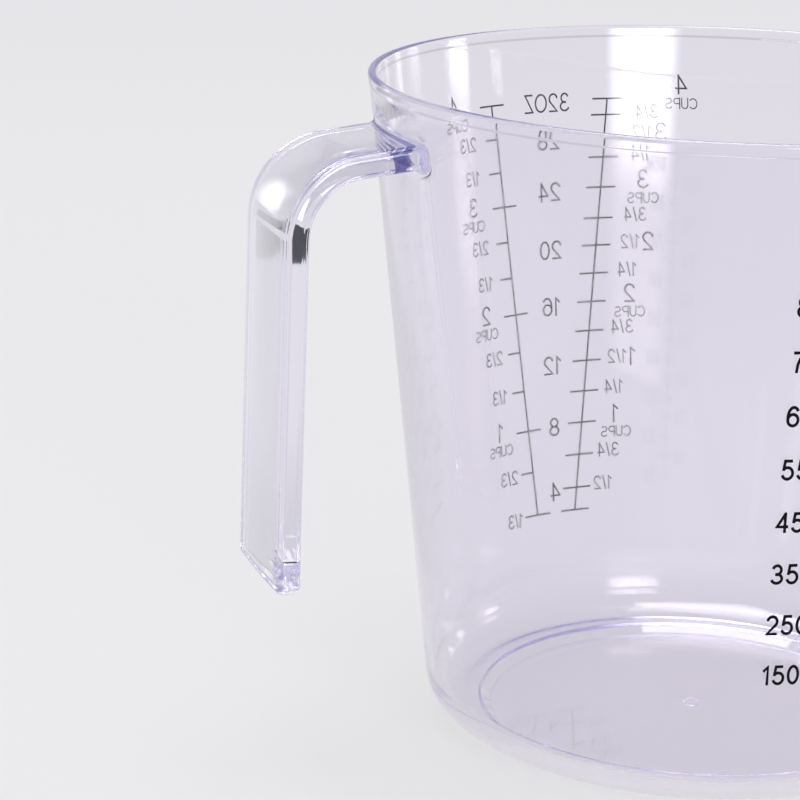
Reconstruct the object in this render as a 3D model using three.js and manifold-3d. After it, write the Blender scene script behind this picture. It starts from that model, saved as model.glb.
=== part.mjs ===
// A clear moulded measuring cup with a strap handle, a pouring spout and three printed scales.
// Millimetres, +Z up. The cup stands on its foot ring at z = 0, the handle points along -X and the
// spout along +X. The origin lies under the middle of the cup's whole outline.

import * as THREE from "three";
import { mergeVertices } from "three/addons/utils/BufferGeometryUtils.js";
import Module from "manifold-3d";

const wasm = await Module();
wasm.setup();

// Cup wall and rim
const CUP_HEIGHT = 121.6; // foot to rim
const RIM_RADIUS = 64.7; // outer face of the lip, at the rim
const BASE_RADIUS = 49.96; // outer face of the wall, carried down to the foot
const WALL = 1.4; // from the outer face to the inner one, across the radius
const LIP_HEIGHT = 2;
const LIP_SLOPE = 0.4; // height of the slope under the lip
const LIP_PROUD = 0.15; // how far the lip stands out from the wall
const RIM_ROUND = 0.45; // rounding of the rim's two top edges

// Floor and foot
const FLOOR = 1.2; // thickness of the floor
const FOOT_HEIGHT = 1.6; // how far the foot stands below the heel
const FOOT_SET_BACK = 3.2; // flat under the heel, from its rounding to the foot
const FOOT_SLOPE = 2; // width of the foot's sloping side, and of the floor's step above it
const STEP_INSET = 0.4; // how far the floor's step lies inside the foot's side
const FOOT_RING_WIDTH = 3; // flat of the foot ring
const RECESS_DEPTH = 1.1; // how far the underside rises from the foot ring to its middle
const HEEL_RADIUS = 7; // rounding under the wall, outside
const INNER_HEEL_RADIUS = 8; // rounding between the wall and the floor, inside
const GATE_RADIUS = 1.4; // stub of the moulding gate, in the middle of the underside
const GATE_HEIGHT = 0.5;

// Pouring spout
const SPOUT_REACH = 7; // how far the rim is drawn out
const SPOUT_DEPTH = 30; // how far below the rim the spout begins
const SPOUT_HALF_ANGLE = THREE.MathUtils.degToRad(19);

// Handle
const HANDLE_WIDTH = 25.2;
const HANDLE_THICKNESS = 4.6;
const HANDLE_DROP = 7.7; // from the rim down to the top of the arm, at the wall
const HANDLE_REACH = 23.2; // from the wall at the arm to the grip's outermost edge
const BEND_RADIUS = 15; // outside of the bend between the arm and the grip
const GRIP_END_HEIGHT = 35; // foot to the grip's free end
const GRIP_SPLAY = THREE.MathUtils.degToRad(0.6); // lean of the grip, its free end outwards
const HANDLE_EDGE_ROUND = 1; // rounding of the handle's long edges
const END_OUTER_ROUND = 0.4; // rounding of the free end's outer edge, past the long edges' own
const END_INNER_ROUND = 1.2; // the same on the side that faces the cup
const GRIP_CORNER_ROUND = 2; // rounding of the free end's corners, seen from outside
const ROOT_CLEARANCE = 0.3; // from the handle's root to the wall
const ROOT_LENGTH = 4; // part of the arm drawn past the wall's face, then cut away to fit it

// Printed scales
const INK_THICKNESS = 0.2;
const INK_BLOCK_DEPTH = 6; // of the blocks that cut the ink's lines out of a sheet, through the wall
const INK_CLEARANCE = 0.1; // from the ink to the wall
const LINE_WIDTH = 0.5;
const TICK_REACH = 3.2; // from the spine to the end of a tick
const CUPS_TOP_DROP = 14.6; // from the rim down to the mark of the largest measure
const CUPS_LOW_HEIGHT = 23.9; // foot to the mark of the smallest measure
const QUARTERS_FIRST_DROP = 17.8; // from the rim down to the first mark under the top one, in quarters
const QUARTERS_THIRD_DROP = 26.1; // the same to the third
const QUARTERS_FIFTH_DROP = 38.3; // and to the fifth
const CUPS_TOP_SPREAD = 13.7; // from the middle of the cups print to each spine, at the top mark
const CUPS_LOW_SPREAD = 4.55; // the same at the lowest mark
const CUPS_AZIMUTH = THREE.MathUtils.degToRad(99.2); // middle of the cups print, round from +X
const FULL_CUPS = 4;
const CUPS_IN_THIRDS = 3;
const CUPS_IN_QUARTERS = 4;
const ML_TOP_DROP = 17.4;
const ML_LOW_HEIGHT = 23.4;
const ML_AZIMUTH = THREE.MathUtils.degToRad(-91);
const ML_TOP = 950;
const ML_LOW = 100;
const ML_STEP = 50;

// Fineness of the round surfaces
const ROUND_SEGMENTS = 96;
const HEEL_STEPS = 6;
const RIM_STEPS = 2;
const BEND_STEPS = 10;
const EDGE_STEPS = 3;
const WELD = 1e-5; // corners closer than this are one

const CLEAR_PLASTIC = new THREE.MeshStandardMaterial({
  color: 0xdcd8e6,
  roughness: 0.08,
  metalness: 0,
  transparent: true,
  opacity: 0.4,
});
const BLACK_INK = new THREE.MeshStandardMaterial({ color: 0x1c1b20, roughness: 0.55, metalness: 0 });

// Sizes worked out from those above
const LIP_FOOT = CUP_HEIGHT - LIP_HEIGHT;
const WALL_SLOPE = (RIM_RADIUS - LIP_PROUD - BASE_RADIUS) / CUP_HEIGHT; // radius gained per height
const WALL_LEAN = Math.atan(WALL_SLOPE);
const FOOT_TOP_RADIUS = heelCentre(BASE_RADIUS, FOOT_HEIGHT, HEEL_RADIUS).x - FOOT_SET_BACK;
const FOOT_RADIUS = FOOT_TOP_RADIUS - FOOT_SLOPE; // outer edge of the foot ring
const FOOT_INNER_RADIUS = FOOT_RADIUS - FOOT_RING_WIDTH;
const ARM_HEIGHT = CUP_HEIGHT - HANDLE_DROP; // top of the arm, at the wall
const ARM_WALL_RADIUS = wallRadius(ARM_HEIGHT);
const GRIP_OUTER = ARM_WALL_RADIUS + HANDLE_REACH; // cup axis to the grip's outermost edge
const LIP_REACH = RIM_RADIUS - WALL_SLOPE * RIM_ROUND; // cup axis to the lip's outermost edge, under its rounding
const AXIS_X = (GRIP_OUTER - LIP_REACH - SPOUT_REACH) / 2; // puts the outline's middle at the origin

/** Radius of the wall's outer face at a height: a straight taper up to the rim. */
function wallRadius(height) {
  return BASE_RADIUS + WALL_SLOPE * height;
}

/** Radius of the wall's inner face at a height. */
function innerRadius(height) {
  return wallRadius(height) - WALL;
}

/** Points of an arc in a plane, from one angle to another, both ends included. */
function arcPoints(centre, radius, from, to, steps) {
  return Array.from({ length: steps + 1 }, (_, i) => {
    const angle = from + ((to - from) * i) / steps;
    return new THREE.Vector2(centre.x + radius * Math.cos(angle), centre.y + radius * Math.sin(angle));
  });
}

/** Centre of the rounding between a level floor and the tapered wall whose radius at z = 0 is given. */
function heelCentre(radiusAtFoot, floorHeight, round) {
  const height = floorHeight + round;
  return new THREE.Vector2(radiusAtFoot + WALL_SLOPE * height - round * Math.hypot(1, WALL_SLOPE), height);
}

/** That rounding, from the floor to the wall. */
function heelPoints(radiusAtFoot, floorHeight, round) {
  const centre = heelCentre(radiusAtFoot, floorHeight, round);
  return arcPoints(centre, round, -Math.PI / 2, -WALL_LEAN, HEEL_STEPS);
}

/** Turns a profile of (radius, height) points round the cup's axis. */
function turned(profile) {
  return new THREE.LatheGeometry(profile, ROUND_SEGMENTS).rotateX(Math.PI / 2);
}

/** Outer profile of the wall between two heights, pushed outwards. */
function wallProfile(low, high, outwards) {
  return [low, high].map((z) => new THREE.Vector2(wallRadius(z) + outwards, z));
}

/** A closed geometry as a solid that can be joined and cut. */
function solid(geometry) {
  const bare = geometry.index ? geometry.toNonIndexed() : geometry.clone();
  bare.deleteAttribute("normal");
  bare.deleteAttribute("uv");
  const merged = mergeVertices(bare, WELD);
  const corners = merged.index.array;
  const triangles = [];
  for (let i = 0; i < corners.length; i += 3) {
    const [a, b, c] = corners.slice(i, i + 3);
    if (a !== b && b !== c && c !== a) triangles.push(a, b, c);
  }
  const mesh = new wasm.Mesh({
    numProp: 3,
    vertProperties: new Float32Array(merged.attributes.position.array),
    triVerts: new Uint32Array(triangles),
  });
  return new wasm.Manifold(mesh);
}

/** A named mesh made from a solid. */
function piece(name, body, material) {
  const { vertProperties, triVerts } = body.getMesh();
  const geometry = new THREE.BufferGeometry();
  geometry.setAttribute("position", new THREE.BufferAttribute(vertProperties, 3));
  geometry.setIndex(new THREE.BufferAttribute(triVerts, 1));
  geometry.computeVertexNormals();
  const mesh = new THREE.Mesh(geometry, material);
  mesh.name = name;
  return mesh;
}

/** Draws the wall near +X out into the spout, the rim the furthest. */
function drawSpout(geometry) {
  const place = geometry.attributes.position;
  for (let i = 0; i < place.count; i += 1) {
    const [x, y, z] = [place.getX(i), place.getY(i), place.getZ(i)];
    const aside = Math.abs(Math.atan2(y, x)) / SPOUT_HALF_ANGLE;
    const rise = THREE.MathUtils.smoothstep(z, CUP_HEIGHT - SPOUT_DEPTH, CUP_HEIGHT);
    if (aside >= 1 || rise === 0) continue;
    const radius = Math.hypot(x, y);
    const pull = SPOUT_REACH * rise * rise * Math.cos((aside * Math.PI) / 2) ** 2;
    place.setXY(i, (x * (radius + pull)) / radius, (y * (radius + pull)) / radius);
  }
  return geometry;
}

/** Wall, rim lip, heel, stepped floor and foot, turned in one profile from the underside to the floor. */
function makeCupBody() {
  const rimTop = CUP_HEIGHT - RIM_ROUND;
  const outerEdge = new THREE.Vector2(wallRadius(rimTop) + LIP_PROUD - RIM_ROUND, rimTop);
  const innerEdge = new THREE.Vector2(innerRadius(rimTop) + RIM_ROUND, rimTop);
  const quarter = Math.PI / 2;
  const profile = [
    new THREE.Vector2(0, RECESS_DEPTH - GATE_HEIGHT),
    new THREE.Vector2(GATE_RADIUS, RECESS_DEPTH - GATE_HEIGHT),
    new THREE.Vector2(GATE_RADIUS, RECESS_DEPTH),
    new THREE.Vector2(FOOT_INNER_RADIUS, 0),
    new THREE.Vector2(FOOT_RADIUS, 0),
    new THREE.Vector2(FOOT_TOP_RADIUS, FOOT_HEIGHT),
    ...heelPoints(BASE_RADIUS, FOOT_HEIGHT, HEEL_RADIUS),
    ...spoutLevels().map((z) => new THREE.Vector2(wallRadius(z), z)),
    new THREE.Vector2(wallRadius(LIP_FOOT) + LIP_PROUD, LIP_FOOT),
    ...arcPoints(outerEdge, RIM_ROUND, 0, quarter, RIM_STEPS),
    ...arcPoints(innerEdge, RIM_ROUND, quarter, 2 * quarter, RIM_STEPS),
    ...spoutLevels()
      .reverse()
      .map((z) => new THREE.Vector2(innerRadius(z), z)),
    ...heelPoints(BASE_RADIUS - WALL, FOOT_HEIGHT + FLOOR, INNER_HEEL_RADIUS).reverse(),
    new THREE.Vector2(FOOT_TOP_RADIUS - STEP_INSET, FOOT_HEIGHT + FLOOR),
    new THREE.Vector2(FOOT_RADIUS - STEP_INSET, FLOOR),
    new THREE.Vector2(FOOT_INNER_RADIUS, FLOOR),
    new THREE.Vector2(0, RECESS_DEPTH + FLOOR),
  ];
  return piece("cup_body", solid(drawSpout(turned(profile))), CLEAR_PLASTIC);
}

/** Heights at which the wall has a ring of corners, so that the spout can curve: its foot to the lip's slope. */
function spoutLevels() {
  const start = CUP_HEIGHT - SPOUT_DEPTH;
  const end = LIP_FOOT - LIP_SLOPE;
  const between = [1 / 4, 1 / 2, 3 / 4].map((share) => THREE.MathUtils.lerp(start, end, share));
  return [start, ...between, end].sort((a, b) => a - b);
}

/** A straight side of an outline: the angle of its outward normal and a point on it. */
function side(angle, point) {
  const normal = new THREE.Vector2(Math.cos(angle), Math.sin(angle));
  return { angle, normal, reach: normal.dot(point) };
}

/** Centre of a rounding that touches two sides of an outline from inside. */
function roundingCentre(one, other, round) {
  const [p, q] = [one.reach - round, other.reach - round];
  const turn = one.normal.cross(other.normal);
  return new THREE.Vector2(
    (p * other.normal.y - q * one.normal.y) / turn,
    (q * one.normal.x - p * other.normal.x) / turn,
  );
}

/** Side view of the handle in (distance from the axis, height): arm, bend, grip and rounded free end. */
function handleOutline() {
  const outerRound = HANDLE_EDGE_ROUND + END_OUTER_ROUND;
  const innerRound = HANDLE_EDGE_ROUND + END_INNER_ROUND;
  const armRoot = new THREE.Vector2(ARM_WALL_RADIUS, ARM_HEIGHT);
  const armTop = side(Math.PI / 2 - WALL_LEAN, armRoot); // the arm stands square to the wall
  const outerCorner = new THREE.Vector2(GRIP_OUTER - outerRound, GRIP_END_HEIGHT + outerRound);
  const gripOuter = side(GRIP_SPLAY, outerCorner);
  gripOuter.reach += outerRound;
  const gripInner = { ...side(GRIP_SPLAY + Math.PI, outerCorner), reach: HANDLE_THICKNESS - gripOuter.reach };
  const end = side(-Math.PI / 2, new THREE.Vector2(GRIP_OUTER, GRIP_END_HEIGHT));
  const innerCorner = roundingCentre(end, gripInner, innerRound);
  const bend = roundingCentre(armTop, gripOuter, BEND_RADIUS);
  const along = armTop.normal.clone().rotateAround(new THREE.Vector2(), Math.PI / 2);
  const rootTop = armRoot.clone().addScaledVector(along, ROOT_LENGTH);
  const rootUnder = rootTop.clone().addScaledVector(armTop.normal, -HANDLE_THICKNESS);
  return new THREE.Shape([
    rootTop,
    ...arcPoints(bend, BEND_RADIUS, armTop.angle, gripOuter.angle, BEND_STEPS),
    ...arcPoints(outerCorner, outerRound, gripOuter.angle, end.angle, EDGE_STEPS),
    ...arcPoints(innerCorner, innerRound, end.angle, gripInner.angle - 2 * Math.PI, EDGE_STEPS),
    ...arcPoints(bend, BEND_RADIUS - HANDLE_THICKNESS, gripOuter.angle, armTop.angle, BEND_STEPS),
    rootUnder,
  ]);
}

/** View of the handle from outside: a plate as wide as the handle, with its lower corners rounded. */
function handleFace() {
  const half = HANDLE_WIDTH / 2;
  const corner = half - GRIP_CORNER_ROUND;
  const low = GRIP_END_HEIGHT + GRIP_CORNER_ROUND;
  return new THREE.Shape([
    new THREE.Vector2(-half, CUP_HEIGHT),
    ...arcPoints(new THREE.Vector2(-corner, low), GRIP_CORNER_ROUND, -Math.PI, -Math.PI / 2, EDGE_STEPS),
    ...arcPoints(new THREE.Vector2(corner, low), GRIP_CORNER_ROUND, -Math.PI / 2, 0, EDGE_STEPS),
    new THREE.Vector2(half, CUP_HEIGHT),
  ]);
}

/** Strap handle towards -X, with rounded long edges, its root cut to the wall. */
function makeHandle() {
  const flat = HANDLE_WIDTH - 2 * HANDLE_EDGE_ROUND;
  const strap = new THREE.ExtrudeGeometry(handleOutline(), {
    depth: flat,
    bevelEnabled: true,
    bevelSize: HANDLE_EDGE_ROUND,
    bevelOffset: -HANDLE_EDGE_ROUND,
    bevelThickness: HANDLE_EDGE_ROUND,
    bevelSegments: EDGE_STEPS,
  });
  // The outline's plane becomes XZ with its distances running towards -X.
  strap.translate(0, 0, -flat / 2).rotateX(Math.PI / 2).rotateZ(Math.PI);
  const face = new THREE.ExtrudeGeometry(handleFace(), { depth: GRIP_OUTER, bevelEnabled: false });
  // The face's plane becomes YZ, reaching from the axis to the grip's outer face.
  face.rotateX(Math.PI / 2).rotateZ(-Math.PI / 2);
  const inside = turned([
    new THREE.Vector2(0, 0),
    ...wallProfile(0, CUP_HEIGHT, ROOT_CLEARANCE),
    new THREE.Vector2(0, CUP_HEIGHT),
  ]);
  const body = solid(strap).intersect(solid(face)).subtract(solid(inside));
  return piece("handle", body, CLEAR_PLASTIC);
}

/** Point on the wall's outer face at an arc length aside from a bearing. */
function wallPoint(azimuth, aside, height) {
  const radius = wallRadius(height);
  const bearing = azimuth + aside / radius;
  return new THREE.Vector3(radius * Math.cos(bearing), radius * Math.sin(bearing), height);
}

/**
 * Height of a measure's mark. Some marks are set, from the lowest to a high one, and equal steps of measure
 * between two of them hold equal volumes of the cone there.
 */
function markHeight(measure, set) {
  const above = set.findIndex((mark, i) => i > 0 && (mark.measure >= measure || i === set.length - 1));
  const [low, high] = [set[above - 1], set[above]];
  const cube = (height) => innerRadius(height) ** 3;
  const share = (measure - low.measure) / (high.measure - low.measure);
  const radius = Math.cbrt(THREE.MathUtils.lerp(cube(low.height), cube(high.height), share));
  return (radius + WALL - BASE_RADIUS) / WALL_SLOPE;
}

/** Block through the wall along a straight line between two points of it, as wide as the line. */
function lineBlock(from, to) {
  const along = to.clone().sub(from);
  const length = along.length();
  along.normalize();
  const middle = from.clone().add(to).multiplyScalar(0.5);
  const across = along.clone().cross(new THREE.Vector3(middle.x, middle.y, 0)).normalize();
  const outwards = across.clone().cross(along);
  const block = new THREE.BoxGeometry(INK_BLOCK_DEPTH, LINE_WIDTH, length + LINE_WIDTH);
  const turn = new THREE.Matrix4().makeBasis(outwards, across, along).setPosition(middle);
  return solid(block.applyMatrix4(turn));
}

/**
 * A printed ladder on the wall: a spine with ticks, as one thin sheet of ink.
 * Each tick has a height and its reach to either side of the spine; asideAt gives the spine's
 * arc length from the print's middle at a height.
 */
function makeLadder(name, azimuth, asideAt, ticks) {
  const heights = ticks.map((tick) => tick.height);
  const [low, high] = [Math.min(...heights), Math.max(...heights)];
  const at = (height, aside) => wallPoint(azimuth, asideAt(height) + aside, height);
  const sheet = turned([
    ...wallProfile(low - LINE_WIDTH, high + LINE_WIDTH, INK_CLEARANCE + INK_THICKNESS),
    ...wallProfile(low - LINE_WIDTH, high + LINE_WIDTH, INK_CLEARANCE).reverse(),
    wallProfile(low - LINE_WIDTH, high + LINE_WIDTH, INK_CLEARANCE + INK_THICKNESS)[0],
  ]);
  const lines = ticks.map(({ height, left, right }) => lineBlock(at(height, -left), at(height, right)));
  const joined = lines.reduce((all, line) => all.add(line), lineBlock(at(low, 0), at(high, 0)));
  return piece(name, solid(sheet).intersect(joined), BLACK_INK);
}

/**
 * One ladder of cups on the back, towards the handle (+1) or away from it (-1), with every cup split
 * into parts. The lowest mark and those given are set, and the top mark is never above the top line.
 * Ticks of whole cups cross the spine, and so do the others unless they are outward only.
 */
function makeCupsLadder(name, towards, parts, upperSet, outwardOnly) {
  const low = { measure: 1 / CUPS_IN_THIRDS, height: CUPS_LOW_HEIGHT };
  const set = [low, ...upperSet];
  const topLine = CUP_HEIGHT - CUPS_TOP_DROP;
  const asideAt = (height) => {
    const share = (height - low.height) / (topLine - low.height);
    return towards * THREE.MathUtils.lerp(CUPS_LOW_SPREAD, CUPS_TOP_SPREAD, share);
  };
  const ticks = [{ height: low.height, left: TICK_REACH, right: TICK_REACH }];
  for (let part = Math.floor(low.measure * parts) + 1; part <= FULL_CUPS * parts; part += 1) {
    const inner = outwardOnly && part % parts !== 0 ? 0 : TICK_REACH;
    const [left, right] = towards > 0 ? [inner, TICK_REACH] : [TICK_REACH, inner];
    ticks.push({ height: Math.min(topLine, markHeight(part / parts, set)), left, right });
  }
  return makeLadder(name, CUPS_AZIMUTH, asideAt, ticks);
}

/** Cups in thirds, set by the top line's four cups. */
function makeThirdsLadder() {
  const set = [{ measure: FULL_CUPS, height: CUP_HEIGHT - CUPS_TOP_DROP }];
  return makeCupsLadder("cups_thirds_scale", 1, CUPS_IN_THIRDS, set, true);
}

/** Cups in quarters, set by three marks near the top, where the last step is cut short by the top line. */
function makeQuartersLadder() {
  const underTop = (steps, drop) => ({
    measure: FULL_CUPS - steps / CUPS_IN_QUARTERS,
    height: CUP_HEIGHT - drop,
  });
  const set = [underTop(5, QUARTERS_FIFTH_DROP), underTop(3, QUARTERS_THIRD_DROP), underTop(1, QUARTERS_FIRST_DROP)];
  return makeCupsLadder("cups_quarters_scale", -1, CUPS_IN_QUARTERS, set, false);
}

/** Ladder of millilitres on the front, evenly spaced, its spine straight up the wall. */
function makeMillilitreLadder() {
  const ticks = [];
  for (let measure = ML_LOW; measure <= ML_TOP; measure += ML_STEP) {
    const share = (measure - ML_LOW) / (ML_TOP - ML_LOW);
    const height = THREE.MathUtils.lerp(ML_LOW_HEIGHT, CUP_HEIGHT - ML_TOP_DROP, share);
    ticks.push({ height, left: TICK_REACH, right: TICK_REACH });
  }
  return makeLadder("millilitre_scale", ML_AZIMUTH, () => 0, ticks);
}

const cup = new THREE.Group();
cup.position.x = AXIS_X;
cup.add(
  makeCupBody(),
  makeHandle(),
  makeThirdsLadder(),
  makeQuartersLadder(),
  makeMillilitreLadder(),
);

const measuringCup = new THREE.Group();
measuringCup.add(cup);

export default measuringCup;
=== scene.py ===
"""A clear moulded measuring cup with a strap handle and printed scales, on a pale studio floor.

Sizes are in millimetres, as on a drawing, and every mesh is built in metres in the part's own frame:
the handle points along -X, the spout along +X, and the cup stands on its foot ring at z = 0.
"""

import logging
import math
from dataclasses import dataclass, field
from enum import Enum
from typing import ClassVar

import bmesh
import bpy
from mathutils import Matrix, Vector


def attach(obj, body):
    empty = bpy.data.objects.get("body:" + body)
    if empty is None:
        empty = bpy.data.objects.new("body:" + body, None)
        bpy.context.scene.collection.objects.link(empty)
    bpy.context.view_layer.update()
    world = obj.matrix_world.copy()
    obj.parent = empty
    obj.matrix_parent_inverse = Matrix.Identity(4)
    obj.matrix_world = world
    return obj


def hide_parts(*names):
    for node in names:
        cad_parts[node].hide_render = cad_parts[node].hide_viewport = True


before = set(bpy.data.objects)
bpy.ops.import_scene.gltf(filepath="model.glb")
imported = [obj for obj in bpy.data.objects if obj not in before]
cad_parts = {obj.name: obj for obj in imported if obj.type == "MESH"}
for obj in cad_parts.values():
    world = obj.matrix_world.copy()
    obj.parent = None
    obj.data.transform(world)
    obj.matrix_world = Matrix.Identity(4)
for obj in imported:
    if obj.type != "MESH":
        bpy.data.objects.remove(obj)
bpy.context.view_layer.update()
MM = 0.001
QUARTER_TURN = math.pi / 2

log = logging.getLogger("measuring_cup")


class Align(Enum):
    """Which point of a label stands at its given place, as a share of its length."""

    START = 0.0
    MIDDLE = 0.5
    END = 1.0


class Ladder(Enum):
    """Which side of the cups print a ladder stands on: towards the handle, or away from it."""

    HANDLE_SIDE = 1
    SPOUT_SIDE = -1


def linear(hex_code: str) -> tuple[float, float, float, float]:
    """Turns an sRGB hex colour to the linear one that shaders take.

    Args:
        hex_code: The colour as "#rrggbb".

    Returns:
        Linear red, green, blue and an alpha of 1.
    """
    shares = [int(hex_code[i : i + 2], 16) / 255 for i in (1, 3, 5)]
    red, green, blue = (s / 12.92 if s <= 0.04045 else ((s + 0.055) / 1.055) ** 2.4 for s in shares)
    return red, green, blue, 1.0


def add_node(tree: bpy.types.NodeTree, kind: str, inputs: dict | None = None, **settings) -> bpy.types.Node:
    """Adds a node with its settings, its plain input values and its links.

    Args:
        tree: The node tree.
        kind: The node's type name.
        inputs: Input name or number to a value, or to the output socket that feeds it.
        **settings: The node's own properties.

    Returns:
        The new node.
    """
    node = tree.nodes.new(kind)
    for name, value in settings.items():
        setattr(node, name, value)
    for name, value in (inputs or {}).items():
        if isinstance(value, bpy.types.NodeSocket):
            tree.links.new(value, node.inputs[name])
        else:
            node.inputs[name].default_value = value
    return node


def bare_tree(owner: bpy.types.ID) -> bpy.types.NodeTree:
    """Turns on the nodes of a material, a lamp or a world and clears them.

    Args:
        owner: What the nodes belong to.

    Returns:
        The empty node tree.
    """
    owner.use_nodes = True
    owner.node_tree.nodes.clear()
    return owner.node_tree


def put_in_scene(name: str, data: bpy.types.ID) -> bpy.types.Object:
    """Makes an object of a mesh, a lamp or a camera and links it to the scene.

    Args:
        name: The object's name.
        data: What it shows.

    Returns:
        The object.
    """
    thing = bpy.data.objects.new(name, data)
    bpy.context.scene.collection.objects.link(thing)
    return thing


def start_piece(name: str) -> bpy.types.Object:
    """Names the object that is active, which is the one that was just added or joined.

    Args:
        name: The piece's name.

    Returns:
        The object.
    """
    piece = bpy.context.object
    piece.name = piece.data.name = name
    return piece


def face_outwards() -> None:
    """Turns all faces of the mesh in edit mode outwards, and leaves edit mode."""
    bpy.ops.mesh.select_all(action="SELECT")
    bpy.ops.mesh.normals_make_consistent(inside=False)
    bpy.ops.object.mode_set(mode="OBJECT")


def extrude_along(name: str, sections: list[list[Vector]], ring: bool = False) -> bpy.types.Object:
    """Extrudes a point, an edge or a ring from section to section.

    Args:
        name: The piece's name.
        sections: Places of the corners, the same number in each section.
        ring: Whether the corners of a section are closed to a ring.

    Returns:
        The open chain, strip or tube, with its last section selected.
    """
    corners = len(sections[0])
    bpy.ops.object.select_all(action="DESELECT")
    if ring:
        bpy.ops.mesh.primitive_circle_add(vertices=corners, radius=MM)
    else:
        bpy.ops.mesh.primitive_plane_add(size=MM)
    piece = start_piece(name)
    bpy.ops.object.mode_set(mode="EDIT")
    bpy.ops.mesh.select_mode(type="VERT")
    if not ring:
        bpy.ops.mesh.merge(type="CENTER")
        for _ in range(corners - 1):
            bpy.ops.mesh.extrude_vertices_move()
        bpy.ops.mesh.select_all(action="SELECT")
    mesh = bmesh.from_edit_mesh(piece.data)
    number = mesh.verts.layers.int.new("corner")
    for i, vertex in enumerate(mesh.verts):
        vertex[number] = i
    for count, section in enumerate(sections):
        if count and corners == 1:
            bpy.ops.mesh.extrude_vertices_move()
        elif count:
            bpy.ops.mesh.extrude_edges_move()
        mesh = bmesh.from_edit_mesh(piece.data)
        number = mesh.verts.layers.int["corner"]
        for vertex in mesh.verts:
            if vertex.select:
                vertex.co = section[vertex[number]]
    bmesh.update_edit_mesh(piece.data)
    return piece


def select_only(*pieces: bpy.types.Object) -> None:
    """Selects these objects and nothing else, with the first one active."""
    bpy.ops.object.select_all(action="DESELECT")
    for piece in pieces:
        piece.select_set(True)
    bpy.context.view_layer.objects.active = pieces[0]


@dataclass(frozen=True)
class Corner:
    """One corner of the cup's turned profile: its distance from the axis, its height and its rounding."""

    radius: float
    height: float
    rounding: float = 0.0

    @property
    def point(self) -> Vector:
        """The corner in (radius, height)."""
        return Vector((self.radius, self.height))


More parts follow.
